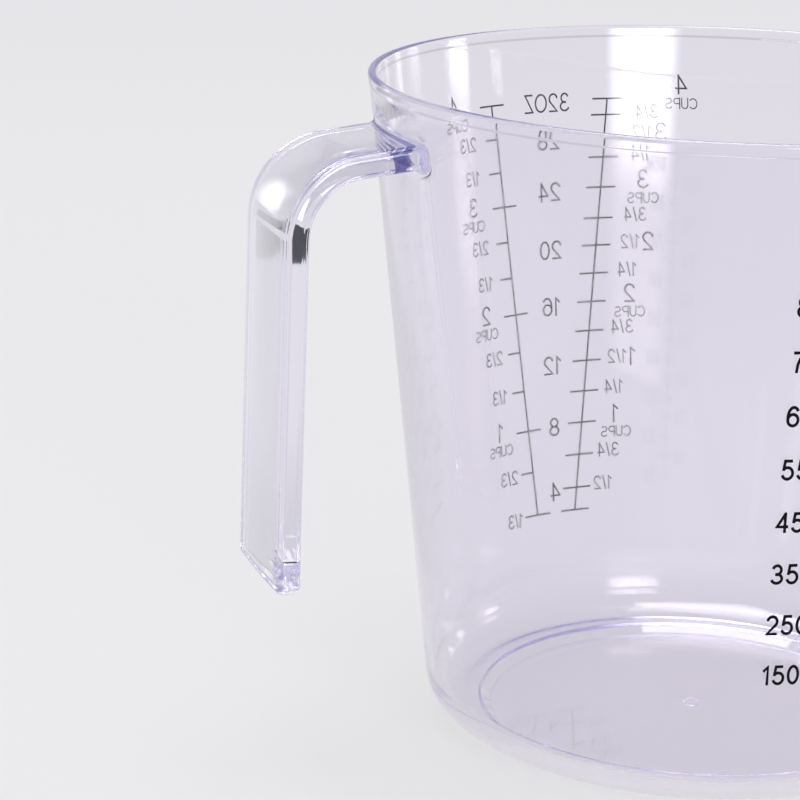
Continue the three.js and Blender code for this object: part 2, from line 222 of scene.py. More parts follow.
@dataclass
class CupShell:
    """The tapered cup: wall, rim lip, heel, floor and foot ring, with its spout."""

    axis_x: float = 7.59
    height: float = 121.6
    rim_radius: float = 64.7
    base_radius: float = 49.96
    wall: float = 1.4
    lip_height: float = 2.0
    lip_slope: float = 0.4
    lip_proud: float = 0.15
    lip_round: float = 0.5
    floor: float = 1.2
    foot_height: float = 1.6
    foot_top_radius: float = 40.74
    foot_slope: float = 2.0
    step_inset: float = 0.4
    foot_ring: float = 3.0
    recess_depth: float = 1.1
    dome_round: float = 20.0
    heel_round: float = 7.0
    inner_heel_round: float = 8.0
    rim_round: float = 0.7
    recess_round: float = 0.4
    step_round: float = 0.5
    gate_radius: float = 1.4
    gate_height: float = 0.5
    gate_round: float = 0.15
    spout_reach: float = 7.0
    spout_depth: float = 30.0
    spout_half_angle: float = math.radians(19)
    segments: int = 288
    fine_step: float = 1.15
    coarse_step: float = 6.0
    arc_step: float = math.radians(9)
    weld: float = 0.001

    @property
    def slope(self) -> float:
        """Radius that the wall gains per height."""
        return (self.rim_radius - self.lip_proud - self.base_radius) / self.height

    def wall_radius(self, height: float) -> float:
        """Radius of the wall's outer face at a height."""
        return self.base_radius + self.slope * height

    def corners(self) -> list[Corner]:
        """Corners of the profile, from the middle of the underside round the rim to the middle of the floor."""
        lip_foot = self.height - self.lip_height
        gate_foot = self.recess_depth - self.gate_height
        foot_radius = self.foot_top_radius - self.foot_slope
        ring_inner = foot_radius - self.foot_ring
        floor_edge = self.foot_height + self.floor
        return [
            Corner(0.0, gate_foot),
            Corner(self.gate_radius, gate_foot, self.gate_round),
            Corner(self.gate_radius, self.recess_depth, self.gate_round),
            Corner(ring_inner, 0.0, self.dome_round),
            Corner(foot_radius, 0.0, self.recess_round),
            Corner(self.foot_top_radius, self.foot_height, self.recess_round),
            Corner(self.wall_radius(self.foot_height), self.foot_height, self.heel_round),
            Corner(self.wall_radius(lip_foot - self.lip_slope), lip_foot - self.lip_slope, self.lip_round),
            Corner(self.wall_radius(lip_foot) + self.lip_proud, lip_foot, self.lip_round),
            Corner(self.rim_radius, self.height, self.rim_round),
            Corner(self.wall_radius(self.height) - self.wall, self.height, self.rim_round),
            Corner(self.wall_radius(floor_edge) - self.wall, floor_edge, self.inner_heel_round),
            Corner(self.foot_top_radius - self.step_inset, floor_edge, self.step_round),
            Corner(foot_radius - self.step_inset, self.floor, self.step_round),
            Corner(ring_inner, self.floor, self.dome_round),
            Corner(0.0, self.floor + self.recess_depth),
        ]

    def profile(self) -> list[Vector]:
        """Points of the rounded profile in (radius, height), close together where the wall bends."""
        corners = self.corners()
        points = [corners[0].point]
        for before, corner, after in zip(corners, corners[1:], corners[2:]):
            points += self.rounded(before.point, corner, after.point)
        points.append(corners[-1].point)
        dense = [points[0]]
        for point in points[1:]:
            last = dense[-1]
            middle = (last.y + point.y) / 2
            step = self.fine_step if middle > self.height - self.spout_depth else self.coarse_step
            parts = max(1, math.ceil((point - last).length / step))
            dense += [last.lerp(point, i / parts) for i in range(1, parts + 1)]
        return dense

    def rounded(self, before: Vector, corner: Corner, after: Vector) -> list[Vector]:
        """Replaces a corner by its rounding.

        Args:
            before: The corner before it.
            corner: The corner.
            after: The corner after it.

        Returns:
            Points of the arc, or the corner itself where it is sharp.
        """
        if corner.rounding == 0:
            return [corner.point]
        arriving = (corner.point - before).normalized()
        leaving = (after - corner.point).normalized()
        turn = arriving.angle_signed(leaving)
        reach = corner.rounding * math.tan(abs(turn) / 2)
        side = Vector((arriving.y, -arriving.x)) * (1 if turn > 0 else -1)
        centre = corner.point - arriving * reach + side * corner.rounding
        start = corner.point - arriving * reach - centre
        steps = max(2, math.ceil(abs(turn) / self.arc_step))
        return [centre + Matrix.Rotation(-turn * i / steps, 2) @ start for i in range(steps + 1)]

    def build(self) -> bpy.types.Object:
        """Draws the profile as a chain of edges and spins it round the axis.

        Returns:
            The closed shell.
        """
        chain = [[Vector((self.axis_x + p.x, 0, p.y)) * MM] for p in self.profile()]
        shell = extrude_along("cup_moulding", chain)
        bpy.ops.mesh.select_all(action="SELECT")
        centre = (self.axis_x * MM, 0, 0)
        bpy.ops.mesh.spin(steps=self.segments, angle=4 * QUARTER_TURN, center=centre, axis=(0, 0, 1))
        bpy.ops.mesh.select_all(action="SELECT")
        bpy.ops.mesh.remove_doubles(threshold=self.weld * MM)
        face_outwards()
        self.draw_spout(shell)
        return shell

    def draw_spout(self, shell: bpy.types.Object) -> None:
        """Draws the wall near +X out into the spout, the rim the furthest."""
        for vertex in shell.data.vertices:
            x, y, z = vertex.co.x / MM - self.axis_x, vertex.co.y / MM, vertex.co.z / MM
            aside = abs(math.atan2(y, x)) / self.spout_half_angle
            rise = min(1.0, max(0.0, (z - self.height + self.spout_depth) / self.spout_depth))
            if aside >= 1 or rise == 0:
                continue
            rise = rise * rise * (3 - 2 * rise)
            pull = self.spout_reach * rise * rise * math.cos(aside * QUARTER_TURN) ** 2
            grown = 1 + pull / math.hypot(x, y)
            vertex.co.x, vertex.co.y = (self.axis_x + x * grown) * MM, y * grown * MM

    def open_root(self, shell: bpy.types.Object, half_width: float, low: float, high: float) -> int:
        """Takes the outer wall away where the handle grows out of it.

        Args:
            shell: The closed shell.
            half_width: How far the hole reaches to either side of the handle's middle.
            low: Height of the hole's lower edge.
            high: Height of its upper edge.

        Returns:
            The number of corners round the hole.
        """
        select_only(shell)
        bpy.ops.object.mode_set(mode="EDIT")
        bpy.ops.mesh.select_mode(type="FACE")
        bpy.ops.mesh.select_all(action="DESELECT")
        bpy.ops.object.mode_set(mode="OBJECT")
        for face in shell.data.polygons:
            x, y, z = (c / MM for c in face.center)
            outer = math.hypot(x - self.axis_x, y) > self.wall_radius(z) - self.wall / 2
            face.select = outer and x < self.axis_x and abs(y) < half_width and low < z < high
        bpy.ops.object.mode_set(mode="EDIT")
        bpy.ops.mesh.delete(type="FACE")
        bpy.ops.mesh.select_mode(type="EDGE")
        bpy.ops.mesh.select_non_manifold()
        bpy.ops.object.mode_set(mode="OBJECT")
        return sum(edge.select for edge in shell.data.edges)


@dataclass
class StrapHandle:
    """The strap handle: an arm square to the wall, a bend, and a straight grip with a free end."""

    cup: CupShell
    width: float = 25.2
    thickness: float = 4.6
    drop: float = 7.7
    reach: float = 23.2
    bend_radius: float = 15.0
    end_height: float = 35.0
    splay: float = math.radians(0.6)
    edge_round: float = 1.25
    crown: float = 0.35
    root_side_fillet: float = 2.4
    root_top_fillet: float = 0.9
    root_edge_gain: float = 0.9
    root_clear: float = 0.8
    end_length: float = 1.7
    end_side_inset: float = 2.0
    end_face_inset: float = 1.3
    end_edge_loss: float = 0.6
    corner_steps: int = 5
    side_parts: int = 6
    arm_parts: int = 3
    bend_steps: int = 36
    fillet_steps: int = 16
    end_steps: int = 7
    wall_tries: int = 6
    straight_step: float = 4.0

    def section(self, corners: int, grow_side: float, grow_face: float, edge_round: float) -> list[Vector]:
        """Corners of the strap's cross-section, counted round from the middle of one face.

        Args:
            corners: How many corners the section has.
            grow_side: How much wider it is than the strap, on each side.
            grow_face: How much thicker it is than the strap, on each face.
            edge_round: Rounding of its four edges.

        Returns:
            Points as (across the width, across the thickness).
        """
        half_width = self.width / 2 + grow_side - edge_round
        half_face = self.thickness / 2 + grow_face - edge_round
        wide_parts = (corners - 4 * self.corner_steps - 2 * self.side_parts) // 2
        centres = [(1, 1), (1, -1), (-1, -1), (-1, 1)]
        points = []
        for number, (across, out) in enumerate(centres):
            centre = Vector((across * half_width, out * half_face))
            start = QUARTER_TURN * (1 - number)
            for i in range(self.corner_steps + 1):
                angle = start - QUARTER_TURN * i / self.corner_steps
                points.append(centre + edge_round * Vector((math.cos(angle), math.sin(angle))))
            parts = self.side_parts if number % 2 == 0 else wide_parts
            following = centres[(number + 1) % 4]
            end = Vector((following[0] * half_width, following[1] * half_face)) + points[-1] - centre
            points += [points[-1].lerp(end, self.spread(i / parts)) for i in range(1, parts)]
        return [self.crowned(point) for point in points]

    def crowned(self, point: Vector) -> Vector:
        """Lowers a point of the section's outer half towards the strap's edges, which crowns the outer face."""
        aside, out = 2 * point.x / self.width, max(0.0, 2 * point.y / self.thickness)
        return Vector((point.x, point.y - self.crown * out * aside * aside))

    @staticmethod
    def spread(share: float) -> float:
        """Moves evenly spaced corners of a flat towards its two ends, where the flat meets a rounding."""
        return 0.5 - 0.5 * math.cos(math.pi * share)

    def build(self, corners: int) -> bpy.types.Object:
        """Extrudes the strap's section from its root on the wall to its free end.

        Args:
            corners: How many corners its root has, to join to as many round the hole in the wall.

        Returns:
            The strap, open at its root.
        """
        strap = extrude_along("strap", self.rings(corners), ring=True)
        bpy.ops.mesh.edge_face_add()
        bpy.ops.object.mode_set(mode="OBJECT")
        return strap

    def rings(self, corners: int) -> list[list[Vector]]:
        """Every ring of the strap, from its fillet on the wall to its free end, in metres."""
        lean = math.atan(self.cup.slope)
        arm_angle, grip_angle = QUARTER_TURN - lean, self.splay
        arm_root = Vector((self.cup.wall_radius(self.cup.height - self.drop), self.cup.height - self.drop))
        arm_out = Vector((math.cos(arm_angle), math.sin(arm_angle)))
        grip_out = Vector((math.cos(grip_angle), math.sin(grip_angle)))
        grip_end = Vector((arm_root.x + self.reach, self.end_height))
        arm_reach = arm_out.dot(arm_root) - self.bend_radius
        grip_reach = grip_out.dot(grip_end) - self.bend_radius
        turn = arm_out.cross(grip_out)
        bend = Vector((
            (arm_reach * grip_out.y - grip_reach * arm_out.y) / turn,
            (grip_reach * arm_out.x - arm_reach * grip_out.x) / turn,
        ))
        rings = self.root_rings(corners, arm_root, arm_out)
        plain = self.section(corners, 0, 0, self.edge_round)
        first = arm_root + Vector((arm_out.y, -arm_out.x)) * (self.root_side_fillet + self.root_clear)
        bend_start, bend_end = bend + arm_out * self.bend_radius, bend + grip_out * self.bend_radius
        for i in range(self.arm_parts):
            rings.append(self.placed(plain, first.lerp(bend_start, i / self.arm_parts), arm_out))
        for i in range(self.bend_steps + 1):
            angle = arm_angle + (grip_angle - arm_angle) * i / self.bend_steps
            out = Vector((math.cos(angle), math.sin(angle)))
            rings.append(self.placed(plain, bend + out * self.bend_radius, out))
        down = Vector((grip_out.y, -grip_out.x))
        length = (bend_end.y - self.end_height) / -down.y - self.end_length
        steps = math.ceil(length / self.straight_step)
        for i in range(1, steps + 1):
            rings.append(self.placed(plain, bend_end + down * length * i / steps, grip_out))
        for i in range(1, self.end_steps + 1):
            angle = QUARTER_TURN * i / self.end_steps
            inset = 1 - math.cos(angle)
            tip = self.section(corners, -self.end_side_inset * inset, -self.end_face_inset * inset,
                               self.edge_round * (1 - self.end_edge_loss * inset))
            along = length + self.end_length * math.sin(angle)
            rings.append(self.placed(tip, bend_end + down * along, grip_out))
        return rings

    def placed(self, section: list[Vector], outer: Vector, out: Vector) -> list[Vector]:
        """Stands a section in the handle's plane.

        Args:
            section: Its corners as (across the width, across the thickness).
            outer: Point of the strap's outer face, as (distance from the axis, height).
            out: Direction from the inner to the outer face there.

        Returns:
            The corners in the part's frame, in metres.
        """
        ring = []
        for corner in section:
            place = outer + out * (corner.y - self.thickness / 2)
            ring.append(Vector((self.cup.axis_x - place.x, corner.x, place.y)) * MM)
        return ring

    def root_rings(self, corners: int, arm_root: Vector, out: Vector) -> list[list[Vector]]:
        """Rings of the fillet between the wall and the arm, from the wall outwards."""
        along = Vector((out.y, -out.x))
        plain = self.section(corners, 0, 0, self.edge_round)
        rings = []
        for i in range(self.fillet_steps + 1):
            angle = QUARTER_TURN * (1 - i / self.fillet_steps)
            grow, back = 1 - math.cos(angle), 1 - math.sin(angle)
            wider = self.section(corners, self.root_side_fillet * grow, self.root_top_fillet * grow,
                                 self.edge_round + self.root_edge_gain * self.root_top_fillet * grow)
            ring = []
            for base, corner in zip(plain, wider):
                side_share = min(1.0, max(0.0, abs(base.x) - self.width / 2 + self.edge_round) / self.edge_round)
                fillet = self.root_top_fillet + (self.root_side_fillet - self.root_top_fillet) * side_share
                place = arm_root + out * (corner.y - self.thickness / 2)
                for _ in range(self.wall_tries):
                    wall = self.cup.wall_radius(place.y)
                    place = place + along * (math.sqrt(wall * wall - corner.x * corner.x) - place.x) / along.x
                place = place + along * fillet * back
                ring.append(Vector((self.cup.axis_x - place.x, corner.x, place.y)) * MM)
            rings.append(ring)
        return rings


@dataclass
class CupMoulding:
    """The whole clear moulding: the cup and its handle, grown together."""

    cup: CupShell
    handle: StrapHandle
    root_half_width: float = 16.7
    root_low: float = 107.2
    root_high: float = 116.2
    smooth_angle: float = math.radians(50)

    def build(self) -> bpy.types.Object:
        """Opens the wall at the handle's root and bridges the two.

        Returns:
            The closed moulding.
        """
        shell = self.cup.build()
        corners = self.cup.open_root(shell, self.root_half_width, self.root_low, self.root_high)
        strap = self.handle.build(corners)
        select_only(shell, strap)
        bpy.ops.object.join()
        bpy.ops.object.mode_set(mode="EDIT")
        bpy.ops.mesh.select_mode(type="EDGE")
        bpy.ops.mesh.select_all(action="DESELECT")
        bpy.ops.mesh.select_non_manifold()
        bpy.ops.mesh.bridge_edge_loops()
        face_outwards()
        bpy.ops.object.shade_smooth_by_angle(angle=self.smooth_angle)
        # Flats stay flat up to their roundings, so that they don't bend what is seen through them.
        flats = shell.modifiers.new("flats", "WEIGHTED_NORMAL")
        flats.mode, flats.keep_sharp = "FACE_AREA", True
        bpy.ops.object.modifier_apply(modifier=flats.name)
        return shell


@dataclass(frozen=True)
class Stroke:
    """One stroke of a drawn character: its middle line, and whether it closes on itself."""

    BOW_STEP: ClassVar[float] = 15
    MITRE_LIMIT: ClassVar[float] = 0.55
    points: tuple[tuple[float, float], ...]
    closed: bool = False

    @classmethod
    def bow(cls, middle: tuple[float, float], reach: tuple[float, float], start: float, end: float) -> tuple:
        """Points of a bow, part of an ellipse round a middle, from one angle to another in degrees."""
        steps = max(3, math.ceil(abs(end - start) / cls.BOW_STEP))
        angles = [math.radians(start + (end - start) * i / steps) for i in range(steps + 1)]
        return tuple((middle[0] + reach[0] * math.cos(a), middle[1] + reach[1] * math.sin(a)) for a in angles)

    @classmethod
    def loop(cls, middle: tuple[float, float], reach: tuple[float, float]) -> "Stroke":
        """A closed oval."""
        return cls(cls.bow(middle, reach, 0, 360)[:-1], closed=True)

    def edges(self, pen: float) -> list[list[Vector]]:
        """Left and right edge of the stroke at each of its points, for a pen width."""
        points = [Vector(p) for p in self.points]
        count = len(points)
        pairs = []
        for i, point in enumerate(points):
            ahead = points[(i + 1) % count] if self.closed or i + 1 < count else None
            behind = points[i - 1] if self.closed or i else None
            sides = []
            for first, last in ((behind, point), (point, ahead)):
                if first is not None and last is not None:
                    way = (last - first).normalized()
                    sides.append(Vector((-way.y, way.x)))
            side = (sides[0] + sides[-1]).normalized()
            side *= pen / 2 / max(side.dot(sides[0]), self.MITRE_LIMIT)
            pairs.append([(point + side).to_3d(), (point - side).to_3d()])
        return pairs + pairs[:1] if self.closed else pairs


@dataclass
class Characters:
    """Plain sans-serif characters, drawn with an even pen: each is modelled once, flat, and copied."""

    pen: float
    gap: float = 0.1
    digit: float = 0.62
    narrow_digit: float = 0.4
    weld: float = 1e-5
    masters: dict[str, bpy.types.Object] = field(default_factory=dict)

    def strokes(self, character: str) -> tuple[Stroke, ...]:
        """Strokes of a character that is 1 tall between the middle lines of its top and bottom strokes.

        Args:
            character: The character.

        Returns:
            Its strokes.
        """
        bow, foot, head = Stroke.bow, -0.075, 1.075
        match character:
            case "0":
                return (Stroke.loop((0.3, 0.5), (0.3, 0.5)),)
            case "1":
                return (Stroke(((0.05, 0.72), (0.32, 0.99), (0.32, foot))),)
            case "2":
                return (Stroke(bow((0.3, 0.71), (0.29, 0.29), 172, -38) + ((0.02, 0.0), (0.62, 0.0))),)
            case "3":
                return (Stroke(bow((0.28, 0.745), (0.25, 0.255), 165, -90) + ((0.18, 0.49),)),
                        Stroke(((0.18, 0.51),) + bow((0.28, 0.255), (0.31, 0.255), 90, -165)))
            case "4":
                return (Stroke(((0.46, 1.0), (0.0, 0.27), (0.66, 0.27))), Stroke(((0.46, head), (0.46, foot))))
            case "5":
                return (Stroke(((0.57, 1.0), (0.13, 1.0), (0.05, 0.46))),
                        Stroke(bow((0.29, 0.32), (0.31, 0.32), 142, -162)))
            case "6":
                return (Stroke.loop((0.3, 0.31), (0.3, 0.31)),
                        Stroke(bow((0.31, 0.74), (0.27, 0.26), 12, 90) + bow((0.31, 0.45), (0.31, 0.55), 105, 200)))
            case "7":
                return (Stroke(((0.0, 1.0), (0.6, 1.0), (0.4, 0.7), (0.27, 0.38), (0.21, foot))),)
            case "8":
                return (Stroke.loop((0.3, 0.755), (0.245, 0.245)), Stroke.loop((0.3, 0.255), (0.3, 0.255)))
            case "9":
                return tuple(Stroke(tuple((0.6 - x, 1 - y) for x, y in s.points), s.closed) for s in self.strokes("6"))
            case "/":
                return (Stroke(((0.0, foot), (0.28, head))),)
            case "C":
                return (Stroke(bow((0.4, 0.5), (0.4, 0.5), 38, 322)),)
            case "U":
                return (Stroke(((0.0, head),) + bow((0.31, 0.32), (0.31, 0.32), 180, 360) + ((0.62, head),)),)
            case "P":
                return (Stroke(((0.0, foot), (0.0, head))),
                        Stroke(((0.0, 1.0),) + bow((0.34, 0.735), (0.26, 0.265), 90, -90) + ((0.0, 0.47),)))
            case "S":
                return (Stroke(bow((0.31, 0.745), (0.28, 0.255), 25, 255)
                               + bow((0.31, 0.255), (0.31, 0.255), 75, -160)),)
            case "O":
                return (Stroke.loop((0.42, 0.5), (0.42, 0.5)),)
            case "Z":
                return (Stroke(((0.02, 1.0), (0.6, 1.0), (0.0, 0.0), (0.63, 0.0))),)
            case "M":
                return (Stroke(((0.0, foot), (0.0, head))), Stroke(((0.74, foot), (0.74, head))),
                        Stroke(((0.0, 1.0), (0.37, 0.05), (0.74, 1.0))))
            case "L":
                return (Stroke(((0.0, head), (0.0, 0.0), (0.52, 0.0))),)
        raise ValueError(character)

    def width(self, character: str) -> float:
        """Width that a character takes, when its capitals are 1 tall: the same for all digits but the 1."""
        if character.isdigit():
            drawn = self.narrow_digit if character == "1" else self.digit
        else:
            drawn = max(p[0] for s in self.strokes(character) for p in s.points)
        return drawn * (1 - self.pen) + self.pen

    def length(self, text: str) -> float:
        """Length of a label whose capitals are 1 tall."""
        return sum(self.width(c) + self.gap for c in text) - self.gap

    def master(self, character: str) -> bpy.types.Object:
        """Models a character at the first call: its strokes, one thick, joined to a solid."""
        if character not in self.masters:
            solids = []
            for stroke in self.strokes(character):
                solids.append(extrude_along("character", stroke.edges(self.pen / (1 - self.pen))))
                if stroke.closed:
                    bpy.ops.mesh.select_all(action="SELECT")
                    bpy.ops.mesh.remove_doubles(threshold=self.weld)
                bpy.ops.object.mode_set(mode="OBJECT")
                thicken(solids[-1])
            for other in solids[1:]:
                union = solids[0].modifiers.new("union", "BOOLEAN")
                union.operation, union.object, union.solver = "UNION", other, "EXACT"
                select_only(solids[0])
                bpy.ops.object.modifier_apply(modifier=union.name)
                bpy.data.objects.remove(other)
            solids[0].data.transform(Matrix.Translation((self.pen / 2, self.pen / 2, 0))
                                     @ Matrix.Diagonal((1 - self.pen, 1 - self.pen, 1, 1)))
            self.masters[character] = solids[0]
        return self.masters[character]

    def write(self, text: str, place: tuple[float, float], height: float, align: Align,
              stretch: float = 1.0, lean: float = 0.0) -> list[bpy.types.Object]:
        """Copies the characters of a label to their flat places.

        Args:
            text: The characters.
            place: The flat point that it stands at, level with its middle.
            height: Height of its capitals.
            align: Which point of it stands there.
            stretch: Share of the characters' own width.
            lean: How far their heads lean forward, as a share of their height.

        Returns:
            The characters.
        """
        wide = height * stretch
        total = self.length(text) * wide
        at = place[0] - align.value * total
        written = []
        for character in text:
            copy = put_in_scene("character", self.master(character).data.copy())
            shape = Matrix.Diagonal((wide, height, 1, 1))
            shape[0][1] = lean * height
            corner = (at - lean * height / 2, place[1] - height / 2, 0)
            copy.data.transform(Matrix.Translation(corner) @ shape)
            written.append(copy)
            at += (self.width(character) + self.gap) * wide
        return written

    def clear(self) -> None:
        """Takes the masters away once everything is written."""
        for master in self.masters.values():
            bpy.data.objects.remove(master)
        self.masters.clear()


def thicken(sheet: bpy.types.Object) -> None:
    """Makes a flat sheet a solid that is one thick, so that a print's depth can be set as it is wrapped."""
    select_only(sheet)
    film = sheet.modifiers.new("film", "SOLIDIFY")
    film.thickness, film.offset = 1.0, 1.0
    bpy.ops.object.modifier_apply(modifier=film.name)
    bpy.ops.object.mode_set(mode="EDIT")
    face_outwards()
    lowest = min(vertex.co.z for vertex in sheet.data.vertices)
    sheet.data.transform(Matrix.Translation((0, 0, -lowest)))


@dataclass
class Tick:
    """One mark of a ladder: its height and how far it reaches to the left and to the right of the spine."""

    height: float
    left: float
    right: float


@dataclass
class WallPrint:
    """Ink on the outside of the wall, first laid out flat as (arc length, height), then wrapped round it."""

    name: str
    cup: CupShell
    azimuth: float
    characters: Characters
    line_width: float = 0.5
    tick_parts: int = 3
    near: float = 0.01
    lift: float = 0.01
    film: float = 0.06
    parts: list[bpy.types.Object] = field(default_factory=list)

    def ladder(self, ticks: list[Tick], low_spine: float, high_spine: float) -> None:
        """Lays out a spine, extruded from mark to mark, and draws the marks out of its sides.

        Args:
            ticks: The marks, from the lowest to the highest.
            low_spine: Place of the spine at the lowest mark.
            high_spine: Its place at the highest.
        """
        half = self.line_width / 2
        low, high = ticks[0].height, ticks[-1].height
        heights = [tick.height + edge for tick in ticks for edge in (-half, half)]
        rows = []
        for height in heights:
            middle = low_spine + (high_spine - low_spine) * (height - low) / (high - low)
            rows.append([Vector((middle + half, height, 0)), Vector((middle - half, height, 0))])
        strip = extrude_along("ladder", rows)
        bpy.ops.mesh.select_mode(type="EDGE")
        for tick in ticks:
            for corner, reach in ((0, tick.right - half), (1, half - tick.left)):
                if abs(reach) <= half:
                    continue
                self.select_side(strip, corner, tick.height)
                for _ in range(self.tick_parts):
                    bpy.ops.mesh.extrude_edges_move(
                        TRANSFORM_OT_translate={"value": (reach / self.tick_parts, 0, 0)})
        bpy.ops.object.mode_set(mode="OBJECT")
        thicken(strip)
        self.parts.append(strip)

    def select_side(self, strip: bpy.types.Object, corner: int, height: float) -> None:
        """Selects the spine's edge on one side of a mark."""
        bpy.ops.mesh.select_all(action="DESELECT")
        mesh = bmesh.from_edit_mesh(strip.data)
        number = mesh.verts.layers.int["corner"]
        for edge in mesh.edges:
            same_side = all(vertex[number] == corner for vertex in edge.verts)
            middle = (edge.verts[0].co + edge.verts[1].co) / 2
            rise = abs(edge.verts[0].co.y - edge.verts[1].co.y)
            edge.select_set(same_side and abs(middle.y - height) < self.near and rise > self.line_width / 2)
        bmesh.update_edit_mesh(strip.data)

    def label(self, text: str, place: tuple[float, float], height: float, align: Align,
              stretch: float = 1.0, lean: float = 0.0) -> None:
        """Lays out a number or a unit at a flat point, level with its middle."""
        self.parts += self.characters.write(text, place, height, align, stretch, lean)

    def wrap(self) -> bpy.types.Object:
        """Joins what was laid out and wraps it round the wall as a thin film.

        Returns:
            The print.
        """
        select_only(*self.parts)
        bpy.ops.object.join()
        ink = start_piece(self.name)
        for vertex in ink.data.vertices:
            aside, height, depth = vertex.co
            radius = self.cup.wall_radius(height)
            bearing = self.azimuth + aside / radius
            radius += self.lift + self.film * depth
            x = self.cup.axis_x + radius * math.cos(bearing)
            vertex.co = Vector((x, radius * math.sin(bearing), height)) * MM
        ink.data.update()
        return ink


@dataclass
class Marks:
    """Heights of a scale's marks up to its top line: some are set, and equal steps between two hold equal volumes."""

    cup: CupShell
    set_marks: tuple[tuple[float, float], ...]
    top_height: float

    def height(self, measure: float) -> float:
        """Height of a measure's mark above the foot."""
        return min(self.top_height, self.full_height(measure))

    def full_height(self, measure: float) -> float:
        """Height of a measure's mark, as if there were no top line."""
        cup = self.cup
        steps = list(zip(self.set_marks, self.set_marks[1:]))
        (low, low_height), (high, high_height) = next((s for s in steps if s[1][0] >= measure), steps[-1])
        cubes = [(cup.wall_radius(z) - cup.wall) ** 3 for z in (low_height, high_height)]
        share = (measure - low) / (high - low)
        radius = (cubes[0] + (cubes[1] - cubes[0]) * share) ** (1 / 3)
        return (radius + cup.wall - cup.base_radius) / cup.slope


